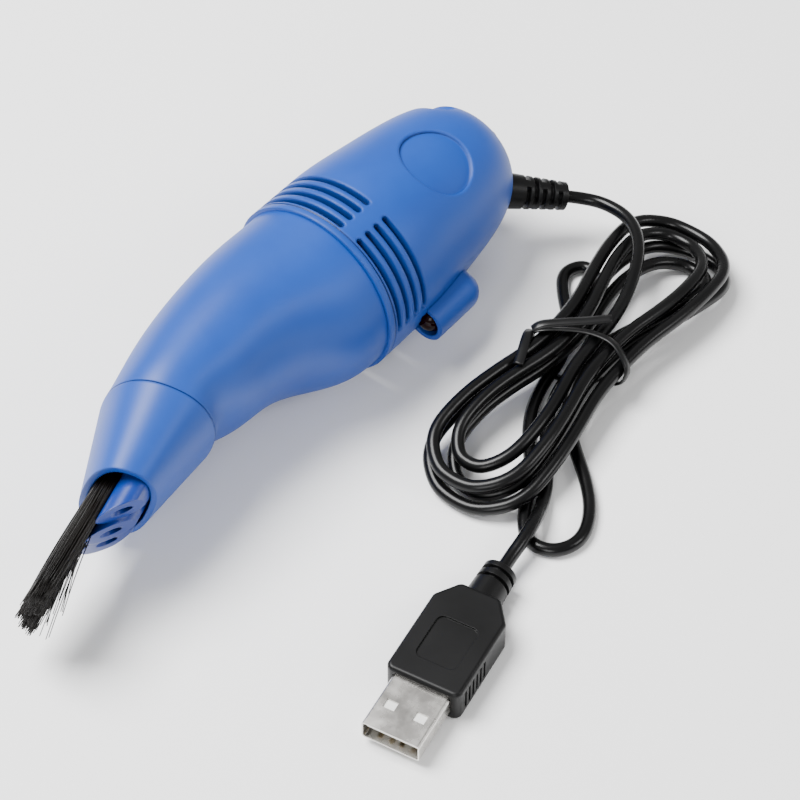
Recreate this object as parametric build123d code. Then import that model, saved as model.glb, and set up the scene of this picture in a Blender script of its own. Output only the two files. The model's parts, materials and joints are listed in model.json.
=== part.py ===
from build123d import *

import os
from math import cos, degrees, pi, radians, sin, sqrt, tan

# Keyboard vacuum cleaner, lying on its flank with its cord tied in a hank beside it.
# Millimetres. The body is modelled along X with the tail at +X, the belly (lamp side) at -Z and
# the flanks at -Y and +Y, then rolled into its resting pose. The cord is modelled where it lies.

# Rest pose
belly_below_level = 22.0

# Fits
slide_clearance = 0.3
seat_clearance = 0.05
running_clearance = 0.05
seam_gap = 0.2

# Rear housing: outline along the axis
band_radius = 20.0
band_length = 13.0
flank_x = 27.0
flank_inset = 1.2
shoulder_x = 40.0
shoulder_inset = 3.0
rear_length = 56.0
tail_fullness = 0.735
band_wall = 2.1
rear_wall = 2.4
tail_wall = 4.0
ledge_width = 1.0
groove_x = 1.4
groove_size = 0.35

# Vent slots
vent_rings = 4
vent_first_x = 2.9
vent_pitch = 2.73
vent_width = 1.5
vent_rib_angle = 5.3
vent_belly_angle = 17.0

# Sunken round panels on the flanks and the thumb rest over the back of the tail
panel_x = 32.4
panel_radius = 8.0
panel_depth = 0.8
panel_edge = 0.4
scoop_x = 50.3
scoop_inset = 0.2
scoop_radius = 4.5
scoop_half_angle = 48.0

# Lamp pod on the belly
pod_front_x = 12.4
pod_length = 15.8
pod_radius = 4.3
pod_axis_proud = 0.7
lamp_radius = 2.9
lamp_length = 9.7
lamp_flange = 0.25
lamp_flange_length = 1.0
lamp_proud = 0.9
lead_hole_radius = 1.2
lead_hole_behind = 1.6
lamp_room = 3.2

# Coupling ring, filter and inlet plate
spigot_length = 6.0
spigot_wall = 1.5
ring_seat_length = 1.9
ring_ledge = 1.1
filter_frame_depth = 2.0
filter_frame_width = 2.0
filter_hub_radius = 2.5
filter_spoke_width = 1.6
filter_spokes = 4
filter_cloth_depth = 0.6
inlet_depth = 1.2
inlet_eye_radius = 6.0

# Fan and motor
fan_tip_room = 3.4
fan_front_gap = 1.4
fan_depth = 7.5
fan_disc = 1.1
fan_hub_radius = 3.0
fan_blades = 7
fan_blade_thickness = 0.9
fan_blade_front_gap = 0.6
plate_depth = 2.0
plate_fan_gap = 1.7
shaft_radius = 1.0
can_room = 6.9
can_length = 24.0
can_wall = 1.0
can_boss_radius = 3.5
can_boss_length = 1.5
magnet_depth = 2.1
magnet_length = 16.0
magnet_arc = 120.0
magnet_start = 4.0
rotor_gap = 0.6
rotor_length = 16.0
rotor_slot = 1.6
cap_depth = 3.0
cap_bush_radius = 2.6
screw_inset = 3.0
screw_radius = 1.0
screw_head_radius = 1.9
screw_head_depth = 1.2
terminal_inset = 5.0
terminal_size = (2.6, 2.0, 0.5)

# Switch and board in the tail
switch_plate_size = (0.8, 17.0, 6.0)
switch_pocket_depth = 1.8
switch_body_size = (5.4, 10.0, 5.0)
switch_travel = 2.0
knob_stem = (2.6, 2.4)
knob_cap = (1.8, 5.0, 4.2)
knob_ridges = 4
knob_ridge_depth = 0.4
board_thickness = 1.0
board_width = 12.0
board_inset = 11.5

# Leads inside the housing
lead_radius = 0.5
lead_spacing = 1.5
lead_bend = 0.8

# Front housing (dust cup): outline, and section sizes as insets from its radius at the main seam
seam_step = 0.8
front_wall = 1.6
socket_cut = 0.2
socket_end_gap = 0.4
nozzle_seam_x = -48.0
nozzle_seam_lift = 0.5
nozzle_seam_tilt = 22.5
nozzle_seam_height_inset = 7.7
nozzle_seam_width_inset = 2.8
nozzle_seam_squareness = 2.25
# x, lift of the centre, tilt, inset of the half height, inset of the half width, squareness
cup_stations = [
    (-8.0, 0.5, 0.0, 0.5, 0.2, 2.03),
    (-13.0, 1.6, 0.0, 1.7, 0.4, 2.06),
    (-19.0, 2.9, 1.0, 3.5, 0.7, 2.1),
    (-26.5, 3.35, 4.0, 5.0, 1.2, 2.15),
    (-36.5, 2.6, 11.5, 6.4, 1.9, 2.2),
]

# Nozzle with its suction tubes and brush
nozzle_slide_angle = 13.0
mouth_x = -65.7
mouth_drop = 5.4
mouth_tilt = 27.0
mouth_half_height = 7.0
mouth_half_width = 13.5
mouth_squareness = 2.5
mouth_wall = 1.3
nozzle_spigot_length = 5.0
nozzle_spigot_wall = 1.5
tip_angle = 16.0
tip_inset = 6.5
tube_pitch = 7.2
tube_overlap = 0.2
tube_half_height = 3.3
tube_drop = 1.9
tube_reach = 9.4
tube_middle_extra = 1.3
tube_cut_angle = 53.0
tube_hole_radius = 1.4
brush_width = 16.0
brush_depth = 3.7
brush_crown = 4.6
brush_block_front = 2.2
brush_backing = 1.0
bristle_size = 0.2
bristle_columns = 46
bristle_rows = 10
bristle_length = 31.5
bristle_ragged = 3.2
bristle_fan_width = 1.15
bristle_fan_depth = 1.6

# Strain relief
relief_angle = 45.0
relief_exit_x = 51.8137085
relief_inset = 1.0
relief_grip = 3.0
relief_length = 13.8
relief_base_radius = 4.0
relief_end_radius = 3.1
relief_neck_radius = 3.0
relief_flange = 1.0
relief_collar = 3.8
relief_slots = 5
relief_slot = 1.1
relief_core_radius = 2.1
relief_web = 1.7

# Cord: lies on the surface, its route chosen by hand from the main seam
cord_diameter = 2.8
cord_sides = 8
cord_end_run = 4.0
cord_lead_route = [
    (66.4, -27.4, 10.9),
    (65.2, -34.6, 11.5),
    (59.8, -40.8, 11.9),
    (51.4, -45.2, 11.5),
    (41.8, -48.0, 10.2),
]
cord_tail_route = [
    (20.6, -50.4, 4.0),
    (15.2, -54.2, 1.8),
    (10.6, -59.4, 1.4),
    (5.6, -65.6, 1.4),
    (-0.6, -71.0, 1.4),
    (-7.6, -73.6, 1.4),
    (-13.4, -70.8, 1.4),
    (-14.4, -64.8, 1.4),
    (-8.6, -60.2, 1.4),
    (0.6, -55.6, 1.4),
    (9.6, -47.8, 1.4),
    (19.4, -43.4, 1.7),
    (30.5, -42.2, 2.3),
    (39.2, -37.6, 1.9),
    (45.6, -31.2, 1.4),
    (51.4, -27.0, 1.4),
    (56.6, -30.0, 1.4),
    (53.6, -35.6, 1.4),
    (46.6, -40.0, 1.6),
    (38.6, -44.2, 2.0),
    (30.0, -46.0, 2.3),
    (20.2, -47.0, 1.7),
    (10.6, -51.6, 1.4),
    (1.6, -58.8, 1.4),
    (-5.6, -62.6, 2.2),
    (-11.2, -64.6, 4.4),
    (-16.4, -65.7, 4.7),
]
hank_waist = (30.5, -47.0)
hank_turns = 4
hank_step = 3.7
hank_inner_waist = 1.75
hank_lobe_half_width = 13.2
hank_lobe_widest = 28.0
hank_lower_reach = 45.8
hank_upper_reach = 45.2
hank_floor_layer = 2.3
hank_droop = 4.4
tie_width = 3.0
tie_thickness = 0.7
tie_corner = 1.7
tie_room = 0.3
tie_tail_length = 9.0
tie_tail_angle = 35.0

# Plug
plug_base = (-57.3, -72.0)
plug_heading = 189.5
plug_shell_size = (12.0, 12.0, 4.5)
plug_shell_wall = 0.3
plug_shell_depth = 3.0
plug_window = (2.0, 2.4)
plug_window_offset = 3.1
plug_window_back = 5.8
plug_tongue_recess = 1.0
plug_tongue_size = (10.8, 1.9)
plug_tongue_root = 2.0
plug_contact_size = (8.0, 1.0, 0.15)
plug_contact_recess = 1.2
plug_contact_offsets = (-3.5, -1.0, 1.0, 3.5)
plug_grip_size = (19.4, 15.6, 7.8)
plug_grip_corner = 1.6
plug_shoulder_length = 4.8
plug_shoulder_width = 8.6
plug_panel_size = (10.6, 8.6)
plug_panel_corner = 1.5
plug_panel_depth = 0.35
plug_edge = 0.8
plug_ribs = 6
plug_rib_start = 3.0
plug_rib_pitch = 1.5
plug_rib_cut = (0.7, 0.4, 4.6)
plug_neck_length = 8.2
plug_neck_radius = 3.8
plug_neck_end_radius = 3.5
plug_neck_groove = 0.9
plug_neck_groove_depth = 0.8
plug_neck_ring = 1.2

# Worked-out places along the axis
bore_radius = band_radius - band_wall
flank_radius = band_radius - flank_inset
shoulder_radius = band_radius - shoulder_inset
front_radius = band_radius - seam_step
nozzle_seam_half_height = front_radius - nozzle_seam_height_inset
nozzle_seam_half_width = front_radius - nozzle_seam_width_inset
pod_axis_radius = band_radius + pod_axis_proud
fan_radius = bore_radius - fan_tip_room
can_radius = bore_radius - can_room
screw_spacing = 2 * (can_radius - screw_inset)
terminal_offset = can_radius - terminal_inset
board_size = (board_thickness, board_width, 2 * (shoulder_radius - board_inset))
relief_seat = shoulder_radius - relief_inset
relief_inner_seat = relief_seat - relief_grip
relief_origin_x = relief_exit_x - relief_seat * cos(radians(relief_angle))
cavity_end_x = rear_length - tail_wall
inlet_x = ring_seat_length - inlet_depth - 0.3
fan_x = inlet_x + inlet_depth + fan_front_gap
fan_back_x = fan_x + fan_depth
plate_x = fan_back_x + plate_fan_gap
ledge_x = plate_x + plate_depth
can_back_x = ledge_x + can_length
cap_back_x = can_back_x + cap_depth
socket_radius = front_radius - front_wall + socket_cut
spigot_radius = socket_radius - slide_clearance
filter_bore_radius = spigot_radius - spigot_wall
axis_height = band_radius
cord_radius = cord_diameter / 2
plug_height = plug_grip_size[2] / 2
switch_floor_x = rear_length - switch_pocket_depth
pod_end_x = pod_front_x + pod_length
lamp_back_x = pod_front_x - lamp_proud + lamp_length
lamp_bore_radius = lamp_radius + lamp_flange + seat_clearance


def turned(profile_points):
    """Solid of revolution about the axis from (x, radius) corners."""
    outline = Polyline(*[(x, 0, r) for x, r in profile_points], close=True)
    return revolve(make_face(outline), Axis.X)


def tube_ring(x0, x1, outer, inner):
    """Plain ring about the axis."""
    return turned([(x0, inner), (x1, inner), (x1, outer), (x0, outer)])


def rod(x0, x1, radius):
    """Plain cylinder on the axis."""
    return Pos((x0 + x1) / 2, 0, 0) * Rot(0, 90, 0) * Cylinder(radius, x1 - x0)


def rod_at(x0, x1, radius, y, z):
    """Plain cylinder parallel to the axis."""
    return Pos(0, y, z) * rod(x0, x1, radius)


def block(x0, x1, width, height):
    """Box on the axis with its ends at x0 and x1."""
    return Pos((x0 + x1) / 2, 0, 0) * Box(x1 - x0, width, height)


def round_tube(points, radius, bend):
    """Thin wire along points with its corners rounded."""
    path = FilletPolyline(*points, radius=bend)
    section = Plane(origin=path @ 0, z_dir=path % 0) * RegularPolygon(radius, 6)
    return sweep(section, path=path)


def squircle(plane, half_height, half_width, squareness):
    """Closed section between an ellipse (2) and a rectangle (large squareness)."""
    points = []
    count = 24
    for i in range(count):
        across = cos(2 * pi * i / count)
        down = sin(2 * pi * i / count)
        size = (abs(across) / half_width) ** squareness + (abs(down) / half_height) ** squareness
        reach = size ** (-1 / squareness)
        points.append((reach * across, reach * down))
    return plane * make_face(Spline(*points, periodic=True))


def section_plane(x, lift, tilt):
    """Plane across the body facing the nozzle: its own Y points to the belly, its X to a flank."""
    forward = (-cos(radians(tilt)), 0, -sin(radians(tilt)))
    return Plane(origin=(x, 0, lift), x_dir=(0, 1, 0), z_dir=forward)


def tail_points(end_x, inset):
    """Outline from the flank round the tail, inset from the outer surface."""
    radius = shoulder_radius - inset
    corner_x = shoulder_x + tail_fullness * (end_x - shoulder_x)
    return [
        (flank_x, 0, flank_radius - inset),
        (shoulder_x, 0, radius),
        (corner_x, 0, tail_fullness * radius),
        (end_x, 0, 0),
    ]


def rear_form(grow=0.0):
    """Filled outer form of the rear housing."""
    start = (band_length, 0, band_radius + grow)
    tail = Spline(start, *tail_points(rear_length + grow, -grow), tangents=[(1, 0, 0), (0, 0, -1)])
    front = Polyline((rear_length + grow, 0, 0), (0, 0, 0), (0, 0, band_radius + grow), start)
    return revolve(make_face([tail, front]), Axis.X)


def rear_cavity():
    """Motor space behind the ledge, with the fan space in front of it."""
    start = (ledge_x, 0, bore_radius - ledge_width)
    tail = Spline(start, *tail_points(cavity_end_x, rear_wall), tangents=[(1, 0, -0.05), (0, 0, -1)])
    front = Polyline(
        (cavity_end_x, 0, 0), (-1, 0, 0), (-1, 0, bore_radius), (ledge_x, 0, bore_radius), start
    )
    return revolve(make_face([tail, front]), Axis.X)


def vent_slot(x, start_angle, end_angle):
    """Cutter for one slot: part of a ring with round ends."""
    inner = bore_radius - 0.5
    outer = band_radius + 0.5
    half = vent_width / 2
    end_turn = degrees(half / band_radius)
    profile = make_face(
        Polyline(
            (x - half, 0, inner), (x + half, 0, inner), (x + half, 0, outer), (x - half, 0, outer), close=True
        )
    )
    sweep_angle = end_angle - start_angle - 2 * end_turn
    ring = Rot(start_angle + end_turn, 0, 0) * revolve(profile, Axis.X, sweep_angle)
    cutters = [ring]
    for angle in (start_angle + end_turn, end_angle - end_turn):
        post = Pos(x, 0, (inner + outer) / 2) * Cylinder(half, outer - inner)
        cutters.append(Rot(angle, 0, 0) * post)
    return cutters


def vent_cutters():
    """Four rings of slots, each in four lengths between the ribs and the belly."""
    cutters = []
    spans = [
        (vent_rib_angle, 90 - vent_rib_angle),
        (90 + vent_rib_angle, 180 - vent_belly_angle),
        (180 + vent_belly_angle, 270 - vent_rib_angle),
        (270 + vent_rib_angle, 360 - vent_rib_angle),
    ]
    for ring in range(vent_rings):
        for start_angle, end_angle in spans:
            cutters += vent_slot(vent_first_x + ring * vent_pitch, start_angle, end_angle)
    return cutters


def panel_cutter(side):
    """Sunken round panel whose floor follows the flank."""
    disc = Cylinder(panel_radius, band_radius)
    return Pos(panel_x, side * band_radius, 0) * Rot(90, 0, 0) * disc - rear_form(-panel_depth)


def scoop():
    """Round-bottomed hollow that runs part of the way round the tail, with round ends."""
    reach = shoulder_radius - scoop_inset
    profile = Pos(scoop_x, 0, reach) * Rot(90, 0, 0) * Circle(scoop_radius)
    hollow = Rot(-scoop_half_angle, 0, 0) * revolve(profile, Axis.X, 2 * scoop_half_angle)
    for angle in (-scoop_half_angle, scoop_half_angle):
        hollow += Rot(angle, 0, 0) * Pos(scoop_x, 0, reach) * Sphere(scoop_radius)
    return hollow


def pod_bore(front_x):
    """Space of the lamp, shared by the pod and a trough in the housing."""
    return rod_at(front_x, lamp_back_x + lamp_room, lamp_bore_radius, 0, -pod_axis_radius)


def lead_hole():
    """Hole through the housing wall behind the lamp for its two leads."""
    depth = pod_axis_radius - can_radius
    middle = (pod_axis_radius + can_radius) / 2
    return Pos(lamp_back_x + lead_hole_behind, 0, -middle) * Cylinder(lead_hole_radius, depth)


def relief_plane():
    """Plane on the strain relief's axis, facing out of the housing."""
    a = radians(relief_angle)
    return Plane(origin=(relief_origin_x, 0, 0), x_dir=(0, 1, 0), z_dir=(cos(a), 0, -sin(a)))


def along_relief(r0, r1, radius, end_radius=None):
    """Cylinder or cone on the strain relief's axis."""
    length = r1 - r0
    shape = Cylinder(radius, length) if end_radius is None else Cone(radius, end_radius, length)
    return relief_plane() * Pos(0, 0, (r0 + r1) / 2) * shape


def make_rear_housing():
    """Blue shell that holds the fan and motor."""
    shell = rear_form()
    for side in (-1, 1):
        shell -= panel_cutter(side)
        rim = shell.edges().sort_by(lambda edge: side * edge.center().Y)[-1]
        shell = fillet(rim, panel_edge)
    shell -= scoop()
    shell -= rear_cavity()
    groove = tube_ring(groove_x, groove_x + groove_size, band_radius + 1, band_radius - groove_size)
    pocket = block(
        switch_floor_x, rear_length + 2, switch_plate_size[1] + 0.2, switch_plate_size[2] + 0.2
    )
    slot = block(
        cavity_end_x - 3,
        rear_length,
        knob_stem[0] + switch_travel + 4 * seat_clearance + 0.2,
        knob_stem[1] + 2 * slide_clearance,
    )
    land = block(cavity_end_x - 6, cavity_end_x, switch_body_size[1] + 0.2, switch_body_size[2] + 0.2)
    seat = along_relief(relief_seat, relief_seat + 8, relief_base_radius + 0.3)
    flange_room = relief_neck_radius + relief_flange + 0.2
    inner_seat = along_relief(relief_inner_seat - 6, relief_inner_seat, flange_room)
    hole = along_relief(relief_inner_seat - 1, relief_seat + 1, relief_neck_radius + seat_clearance)
    cutters = [groove, pocket, slot, land, seat, inner_seat, hole, lead_hole()]
    cutters.append(pod_bore(pod_front_x - lamp_proud - 0.6))
    return shell - cutters - vent_cutters()


def make_lamp_pod():
    """Bullet-shaped cover that stands on the belly round the lamp."""
    round_x = pod_end_x - pod_radius
    middle = (pod_front_x + round_x) / 2
    foot = bore_radius
    height = pod_axis_radius - foot
    top = rod_at(pod_front_x, round_x, pod_radius, 0, -pod_axis_radius)
    sides = Pos(middle, 0, -(foot + height / 2)) * Box(round_x - pod_front_x, 2 * pod_radius, height)
    nose = Pos(round_x, 0, -pod_axis_radius) * Sphere(pod_radius)
    heel = Pos(round_x, 0, -(foot + height / 2)) * Cylinder(pod_radius, height)
    return top + sides + nose + heel - rear_form(0.02) - pod_bore(pod_front_x - 1)


def make_lamp():
    """Round-nosed lamp with a rim at its back."""
    nose_x = pod_front_x - lamp_proud + lamp_radius
    barrel = rod_at(nose_x, lamp_back_x, lamp_radius, 0, -pod_axis_radius)
    nose = Pos(nose_x, 0, -pod_axis_radius) * Sphere(lamp_radius)
    rim = rod_at(
        lamp_back_x - lamp_flange_length, lamp_back_x, lamp_radius + lamp_flange, 0, -pod_axis_radius
    )
    return barrel + nose + rim


def make_coupling_ring():
    """Ring glued in the rear housing; the dust cup slides on its spigot."""
    seat = bore_radius - seat_clearance
    ledge_front = -spigot_length + filter_frame_depth + filter_cloth_depth + 1.6
    return turned(
        [
            (-spigot_length, filter_bore_radius),
            (ledge_front, filter_bore_radius),
            (ledge_front, filter_bore_radius - ring_ledge),
            (inlet_x, filter_bore_radius - ring_ledge),
            (inlet_x, filter_bore_radius),
            (ring_seat_length, filter_bore_radius),
            (ring_seat_length, seat),
            (0, seat),
            (0, spigot_radius),
            (-spigot_length, spigot_radius),
        ]
    )


def make_filter_cloth():
    """Felt disc that lies against the ring's ledge."""
    ledge_front = -spigot_length + filter_frame_depth + filter_cloth_depth + 1.6
    return rod(ledge_front - filter_cloth_depth, ledge_front, filter_bore_radius - seat_clearance)


def make_filter_frame():
    """Spoked ring that holds the filter cloth down."""
    back_x = -spigot_length + filter_frame_depth + 1.6
    front_x = back_x - filter_frame_depth
    outer = filter_bore_radius - seat_clearance
    frame = tube_ring(front_x, back_x, outer, outer - filter_frame_width)
    frame += rod(front_x, back_x, filter_hub_radius)
    for i in range(filter_spokes // 2):
        spoke = block(front_x, back_x, 2 * outer - filter_frame_width, filter_spoke_width)
        frame += Rot(45 + i * 360 / filter_spokes, 0, 0) * spoke
    return frame


def make_inlet_plate():
    """Plate in front of the fan with its round eye."""
    return tube_ring(inlet_x, inlet_x + inlet_depth, filter_bore_radius - seat_clearance, inlet_eye_radius)


def make_impeller():
    """Centrifugal fan: hub, back disc and curved blades."""
    hub = rod(fan_x, fan_back_x, fan_hub_radius)
    disc = rod(fan_back_x - fan_disc, fan_back_x, fan_radius)
    inner = fan_hub_radius + 0.4
    outer = fan_radius - fan_blade_thickness
    middle = (inner + outer) / 2
    curve = ThreePointArc(
        (inner, 0), (middle * cos(0.2), middle * sin(0.2)), (outer * cos(0.75), outer * sin(0.75))
    )
    face = Plane(origin=(fan_x + fan_blade_front_gap, 0, 0), x_dir=(0, 1, 0), z_dir=(1, 0, 0))
    blade = extrude(face * SlotArc(curve, fan_blade_thickness), fan_depth - fan_disc - fan_blade_front_gap)
    blades = [Rot(i * 360 / fan_blades, 0, 0) * blade for i in range(fan_blades)]
    return hub + disc + blades - rod(fan_x - 1, fan_back_x + 1, shaft_radius + 0.01)


def make_motor_shaft():
    """Steel shaft from the fan to the bush in the motor's end cap."""
    return rod(fan_x, cap_back_x - 0.5, shaft_radius)


def make_motor_plate():
    """Disc against the housing's ledge that carries the motor."""
    plate = rod(plate_x, ledge_x, bore_radius - seat_clearance)
    holes = [rod(plate_x - 1, ledge_x + 1, can_boss_radius + seat_clearance)]
    for side in (-1, 1):
        y = side * screw_spacing / 2
        holes.append(rod_at(plate_x - 1, ledge_x + 1, screw_radius + seat_clearance, y, 0))
    return plate - holes


def make_motor_can():
    """Steel can of the motor, open at the back, with a bearing boss."""
    can = rod(ledge_x, can_back_x, can_radius) + rod(ledge_x - can_boss_length, ledge_x, can_boss_radius)
    cuts = [rod(ledge_x + can_wall, can_back_x + 1, can_radius - can_wall)]
    floor_x = ledge_x + can_wall + 1
    cuts.append(rod(ledge_x - can_boss_length - 1, floor_x, shaft_radius + running_clearance))
    for side in (-1, 1):
        y = side * screw_spacing / 2
        cuts.append(rod_at(ledge_x - 1, floor_x, screw_radius + seat_clearance, y, 0))
    return can - cuts


def make_motor_magnets():
    """Two curved magnets inside the can."""
    outer = can_radius - can_wall - seat_clearance
    start = ledge_x + magnet_start
    ring = tube_ring(start, start + magnet_length, outer, outer - magnet_depth)
    half_plane = Box(4 * magnet_length, 4 * can_radius, 2 * can_radius)
    pieces = []
    for side in (0, 180):
        cut_a = Rot(side + magnet_arc / 2, 0, 0) * Pos(start, -2 * can_radius, 0) * half_plane
        cut_b = Rot(side - magnet_arc / 2, 0, 0) * Pos(start, 2 * can_radius, 0) * half_plane
        pieces.append((ring - cut_a - cut_b).solids()[0])
    return Compound(pieces)


def make_motor_rotor():
    """Three-pole rotor on the shaft."""
    radius = can_radius - can_wall - magnet_depth - rotor_gap
    start = ledge_x + magnet_start
    core = rod(start, start + rotor_length, radius)
    for i in range(3):
        slot = Pos(start + rotor_length / 2, 0, radius) * Box(rotor_length + 2, rotor_slot, radius)
        core -= Rot(i * 120, 0, 0) * slot
    return core - rod(start - 1, start + rotor_length + 1, shaft_radius + 0.01)


def make_motor_cap():
    """Plastic end cap with a bush and slots for the terminals."""
    lip = rod(can_back_x - 1.2, can_back_x, can_radius - can_wall - seat_clearance)
    disc = rod(can_back_x, cap_back_x, can_radius - 0.4)
    cap = lip + disc + rod(cap_back_x, cap_back_x + 1, cap_bush_radius)
    cuts = [rod(can_back_x - 3, cap_back_x - 0.3, shaft_radius + running_clearance)]
    for side in (-1, 1):
        cuts.append(
            Pos(cap_back_x, side * terminal_offset, 0)
            * Box(terminal_size[0], terminal_size[1] + 0.02, terminal_size[2] + 0.02)
        )
    return cap - cuts


def make_motor_terminals():
    """Two brass tabs in the end cap."""
    tabs = []
    for side in (-1, 1):
        tabs.append(Pos(cap_back_x + terminal_size[0] / 2, side * terminal_offset, 0) * Box(*terminal_size))
    return Compound([tab.moved(Pos(-terminal_size[0] / 2 + 0.01, 0, 0)).solid() for tab in tabs])


def make_motor_screws():
    """Two screws through the plate into the motor's front wall."""
    screws = []
    for side in (-1, 1):
        y = side * screw_spacing / 2
        head = rod_at(plate_x - screw_head_depth, plate_x, screw_head_radius, y, 0)
        shank = rod_at(plate_x, ledge_x + can_wall, screw_radius, y, 0)
        screws.append((head + shank).solid())
    return Compound(screws)


def make_switch_plate():
    """Black plate in the tail's pocket with the knob's slot."""
    plate = block(
        switch_floor_x, switch_floor_x + switch_plate_size[0], switch_plate_size[1], switch_plate_size[2]
    )
    plate = fillet(plate.edges().filter_by(Axis.X), 1.2)
    slot = block(
        switch_floor_x - 1,
        switch_floor_x + 3,
        knob_stem[0] + switch_travel + 4 * seat_clearance,
        knob_stem[1] + 2 * slide_clearance,
    )
    return plate - slot


def make_switch_body():
    """Slide switch behind the tail wall, open towards the knob."""
    body = block(cavity_end_x - switch_body_size[0], cavity_end_x, switch_body_size[1], switch_body_size[2])
    cavity = block(
        cavity_end_x - 3,
        cavity_end_x + 1,
        knob_stem[0] + switch_travel + 4 * seat_clearance,
        knob_stem[1] + 2 * slide_clearance,
    )
    return body - cavity


def make_switch_knob():
    """Ridged slide knob, shown at the off end of its travel."""
    cap_x = switch_floor_x + switch_plate_size[0] + slide_clearance
    cap = block(cap_x, cap_x + knob_cap[0], knob_cap[1], knob_cap[2])
    cap = chamfer(cap.faces().sort_by(Axis.X)[-1].edges(), 0.4)
    pitch = (knob_cap[1] - 1.2) / knob_ridges
    for i in range(knob_ridges - 1):
        y = (i - (knob_ridges - 2) / 2) * pitch
        cap -= Pos(cap_x + knob_cap[0], y, 0) * Box(2 * knob_ridge_depth, pitch / 2, knob_cap[2] + 1)
    stem = block(cavity_end_x - 3 + slide_clearance, cap_x, knob_stem[0], knob_stem[1])
    return Pos(0, -switch_travel / 2, 0) * (cap + stem)


def make_circuit_board():
    """Small board soldered to the switch."""
    back_x = cavity_end_x - switch_body_size[0]
    return block(back_x - board_size[0], back_x, board_size[1], board_size[2])


def make_motor_leads():
    """Two short leads from the motor's terminals to the board."""
    start_x = cap_back_x + terminal_size[0] / 2 + 0.01
    board_x = cavity_end_x - switch_body_size[0] - board_size[0]
    middle = (start_x + board_x) / 2
    leads = []
    for side in (-1, 1):
        y = side * terminal_offset
        route = [
            (start_x, y, 0),
            (middle - 0.5, y, 0),
            (middle + 0.5, y - side * 2, 1.5),
            (board_x, y - side * 2, 1.5),
        ]
        leads.append(round_tube(route, lead_radius, lead_bend).solid())
    return Compound(leads)


def make_lamp_leads():
    """Two leads from the lamp, through the wall and along the motor to the board."""
    board_x = cavity_end_x - switch_body_size[0] - board_size[0]
    hole_x = lamp_back_x + lead_hole_behind
    lane = can_radius + 2.2
    leads = []
    for side in (-1, 1):
        y = side * lead_spacing / 2
        route = [
            (lamp_back_x, y / 2, -pod_axis_radius),
            (hole_x, y / 2, -pod_axis_radius),
            (hole_x, y / 2, -lane - 2.6),
            (hole_x + 3, y, -lane),
            (cap_back_x + 0.4, y, -lane + 0.6),
            (board_x - 1.4, y, -board_size[2] / 2 + 1.2),
            (board_x, y, -board_size[2] / 2 + 1.2),
        ]
        leads.append(round_tube(route, lead_radius / 2, lead_bend).solid())
    return Compound(leads)


def make_supply_leads():
    """Two leads from the strain relief to the board."""
    a = radians(relief_angle)
    inner = relief_inner_seat - 2.0
    start = Vector(relief_origin_x + inner * cos(a), 0, -inner * sin(a))
    step = Vector(-cos(a), 0, sin(a))
    board_x = cavity_end_x - switch_body_size[0]
    leads = []
    for side in (-1, 1):
        y = side * lead_spacing / 2
        first = start + step * 0.9
        route = [
            (start.X, y, start.Z),
            (first.X, y, first.Z),
            (board_x + 1.5, y, -board_size[2] / 2 + 1.6),
            (board_x, y, -board_size[2] / 2 + 1.6),
        ]
        leads.append(round_tube(route, lead_radius, lead_bend).solid())
    return Compound(leads)


def make_strain_relief():
    """Tapered rubber sleeve with staggered slots, gripping the housing wall."""
    end = relief_seat + relief_length
    sleeve = along_relief(relief_seat, end, relief_base_radius, relief_end_radius)
    sleeve += along_relief(relief_inner_seat, relief_seat, relief_neck_radius)
    sleeve += along_relief(relief_inner_seat - 2, relief_inner_seat, relief_neck_radius + relief_flange)
    pitch = (relief_length - relief_collar - 0.6) / relief_slots
    for i in range(relief_slots):
        at = relief_seat + relief_collar + i * pitch + relief_slot / 2
        core = Cylinder(relief_core_radius, relief_slot)
        web = Box(2 * relief_base_radius + 2, relief_web, relief_slot)
        ring = Cylinder(relief_base_radius + 1, relief_slot) - core - Rot(0, 0, 90 * (i % 2)) * web
        sleeve -= relief_plane() * Pos(0, 0, at) * ring
    return sleeve


def cup_sections(inset, overrun):
    """Sections of the dust cup from the main seam to the nozzle seam."""
    sections = [squircle(section_plane(overrun, 0, 0), front_radius - inset, front_radius - inset, 2)]
    for x, lift, tilt, height_inset, width_inset, squareness in cup_stations:
        plane = section_plane(x, lift, tilt)
        half_height = front_radius - height_inset - inset
        half_width = front_radius - width_inset - inset
        sections.append(squircle(plane, half_height, half_width, squareness))
    seam = section_plane(nozzle_seam_x, nozzle_seam_lift, nozzle_seam_tilt).offset(overrun)
    sections.append(
        squircle(
            seam, nozzle_seam_half_height - inset, nozzle_seam_half_width - inset, nozzle_seam_squareness
        )
    )
    return sections


def make_front_housing():
    """Dust cup: lofted shell, round at the main seam and flatter at the nozzle seam."""
    outer = loft(cup_sections(0, 0))
    inner = loft(cup_sections(front_wall, 0.5))
    ring_socket = rod(-spigot_length - socket_end_gap, 1, socket_radius)
    nozzle_socket = spigot_prism(front_wall - socket_cut, nozzle_spigot_length + socket_end_gap, 1)
    return outer - inner - ring_socket - nozzle_socket


def seam_section(inset, offset):
    """Section at the nozzle seam, moved along the seam's own direction."""
    plane = section_plane(nozzle_seam_x, nozzle_seam_lift, nozzle_seam_tilt).offset(offset)
    return squircle(
        plane, nozzle_seam_half_height - inset, nozzle_seam_half_width - inset, nozzle_seam_squareness
    )


def nozzle_slide():
    """Direction in which the nozzle pulls out of the dust cup."""
    a = radians(nozzle_slide_angle)
    return Vector(-cos(a), 0, -sin(a))


def spigot_prism(inset, back, ahead):
    """Column through the nozzle seam along the slide direction."""
    section = seam_section(inset, 0)
    start = Pos(nozzle_slide() * -back) * section
    return extrude(start, back + ahead, dir=nozzle_slide())


def mouth_plane():
    """Plane of the mouth: its X is a flank, its Y the belly, its Z out of the nozzle."""
    return section_plane(mouth_x, -mouth_drop, mouth_tilt)


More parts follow.
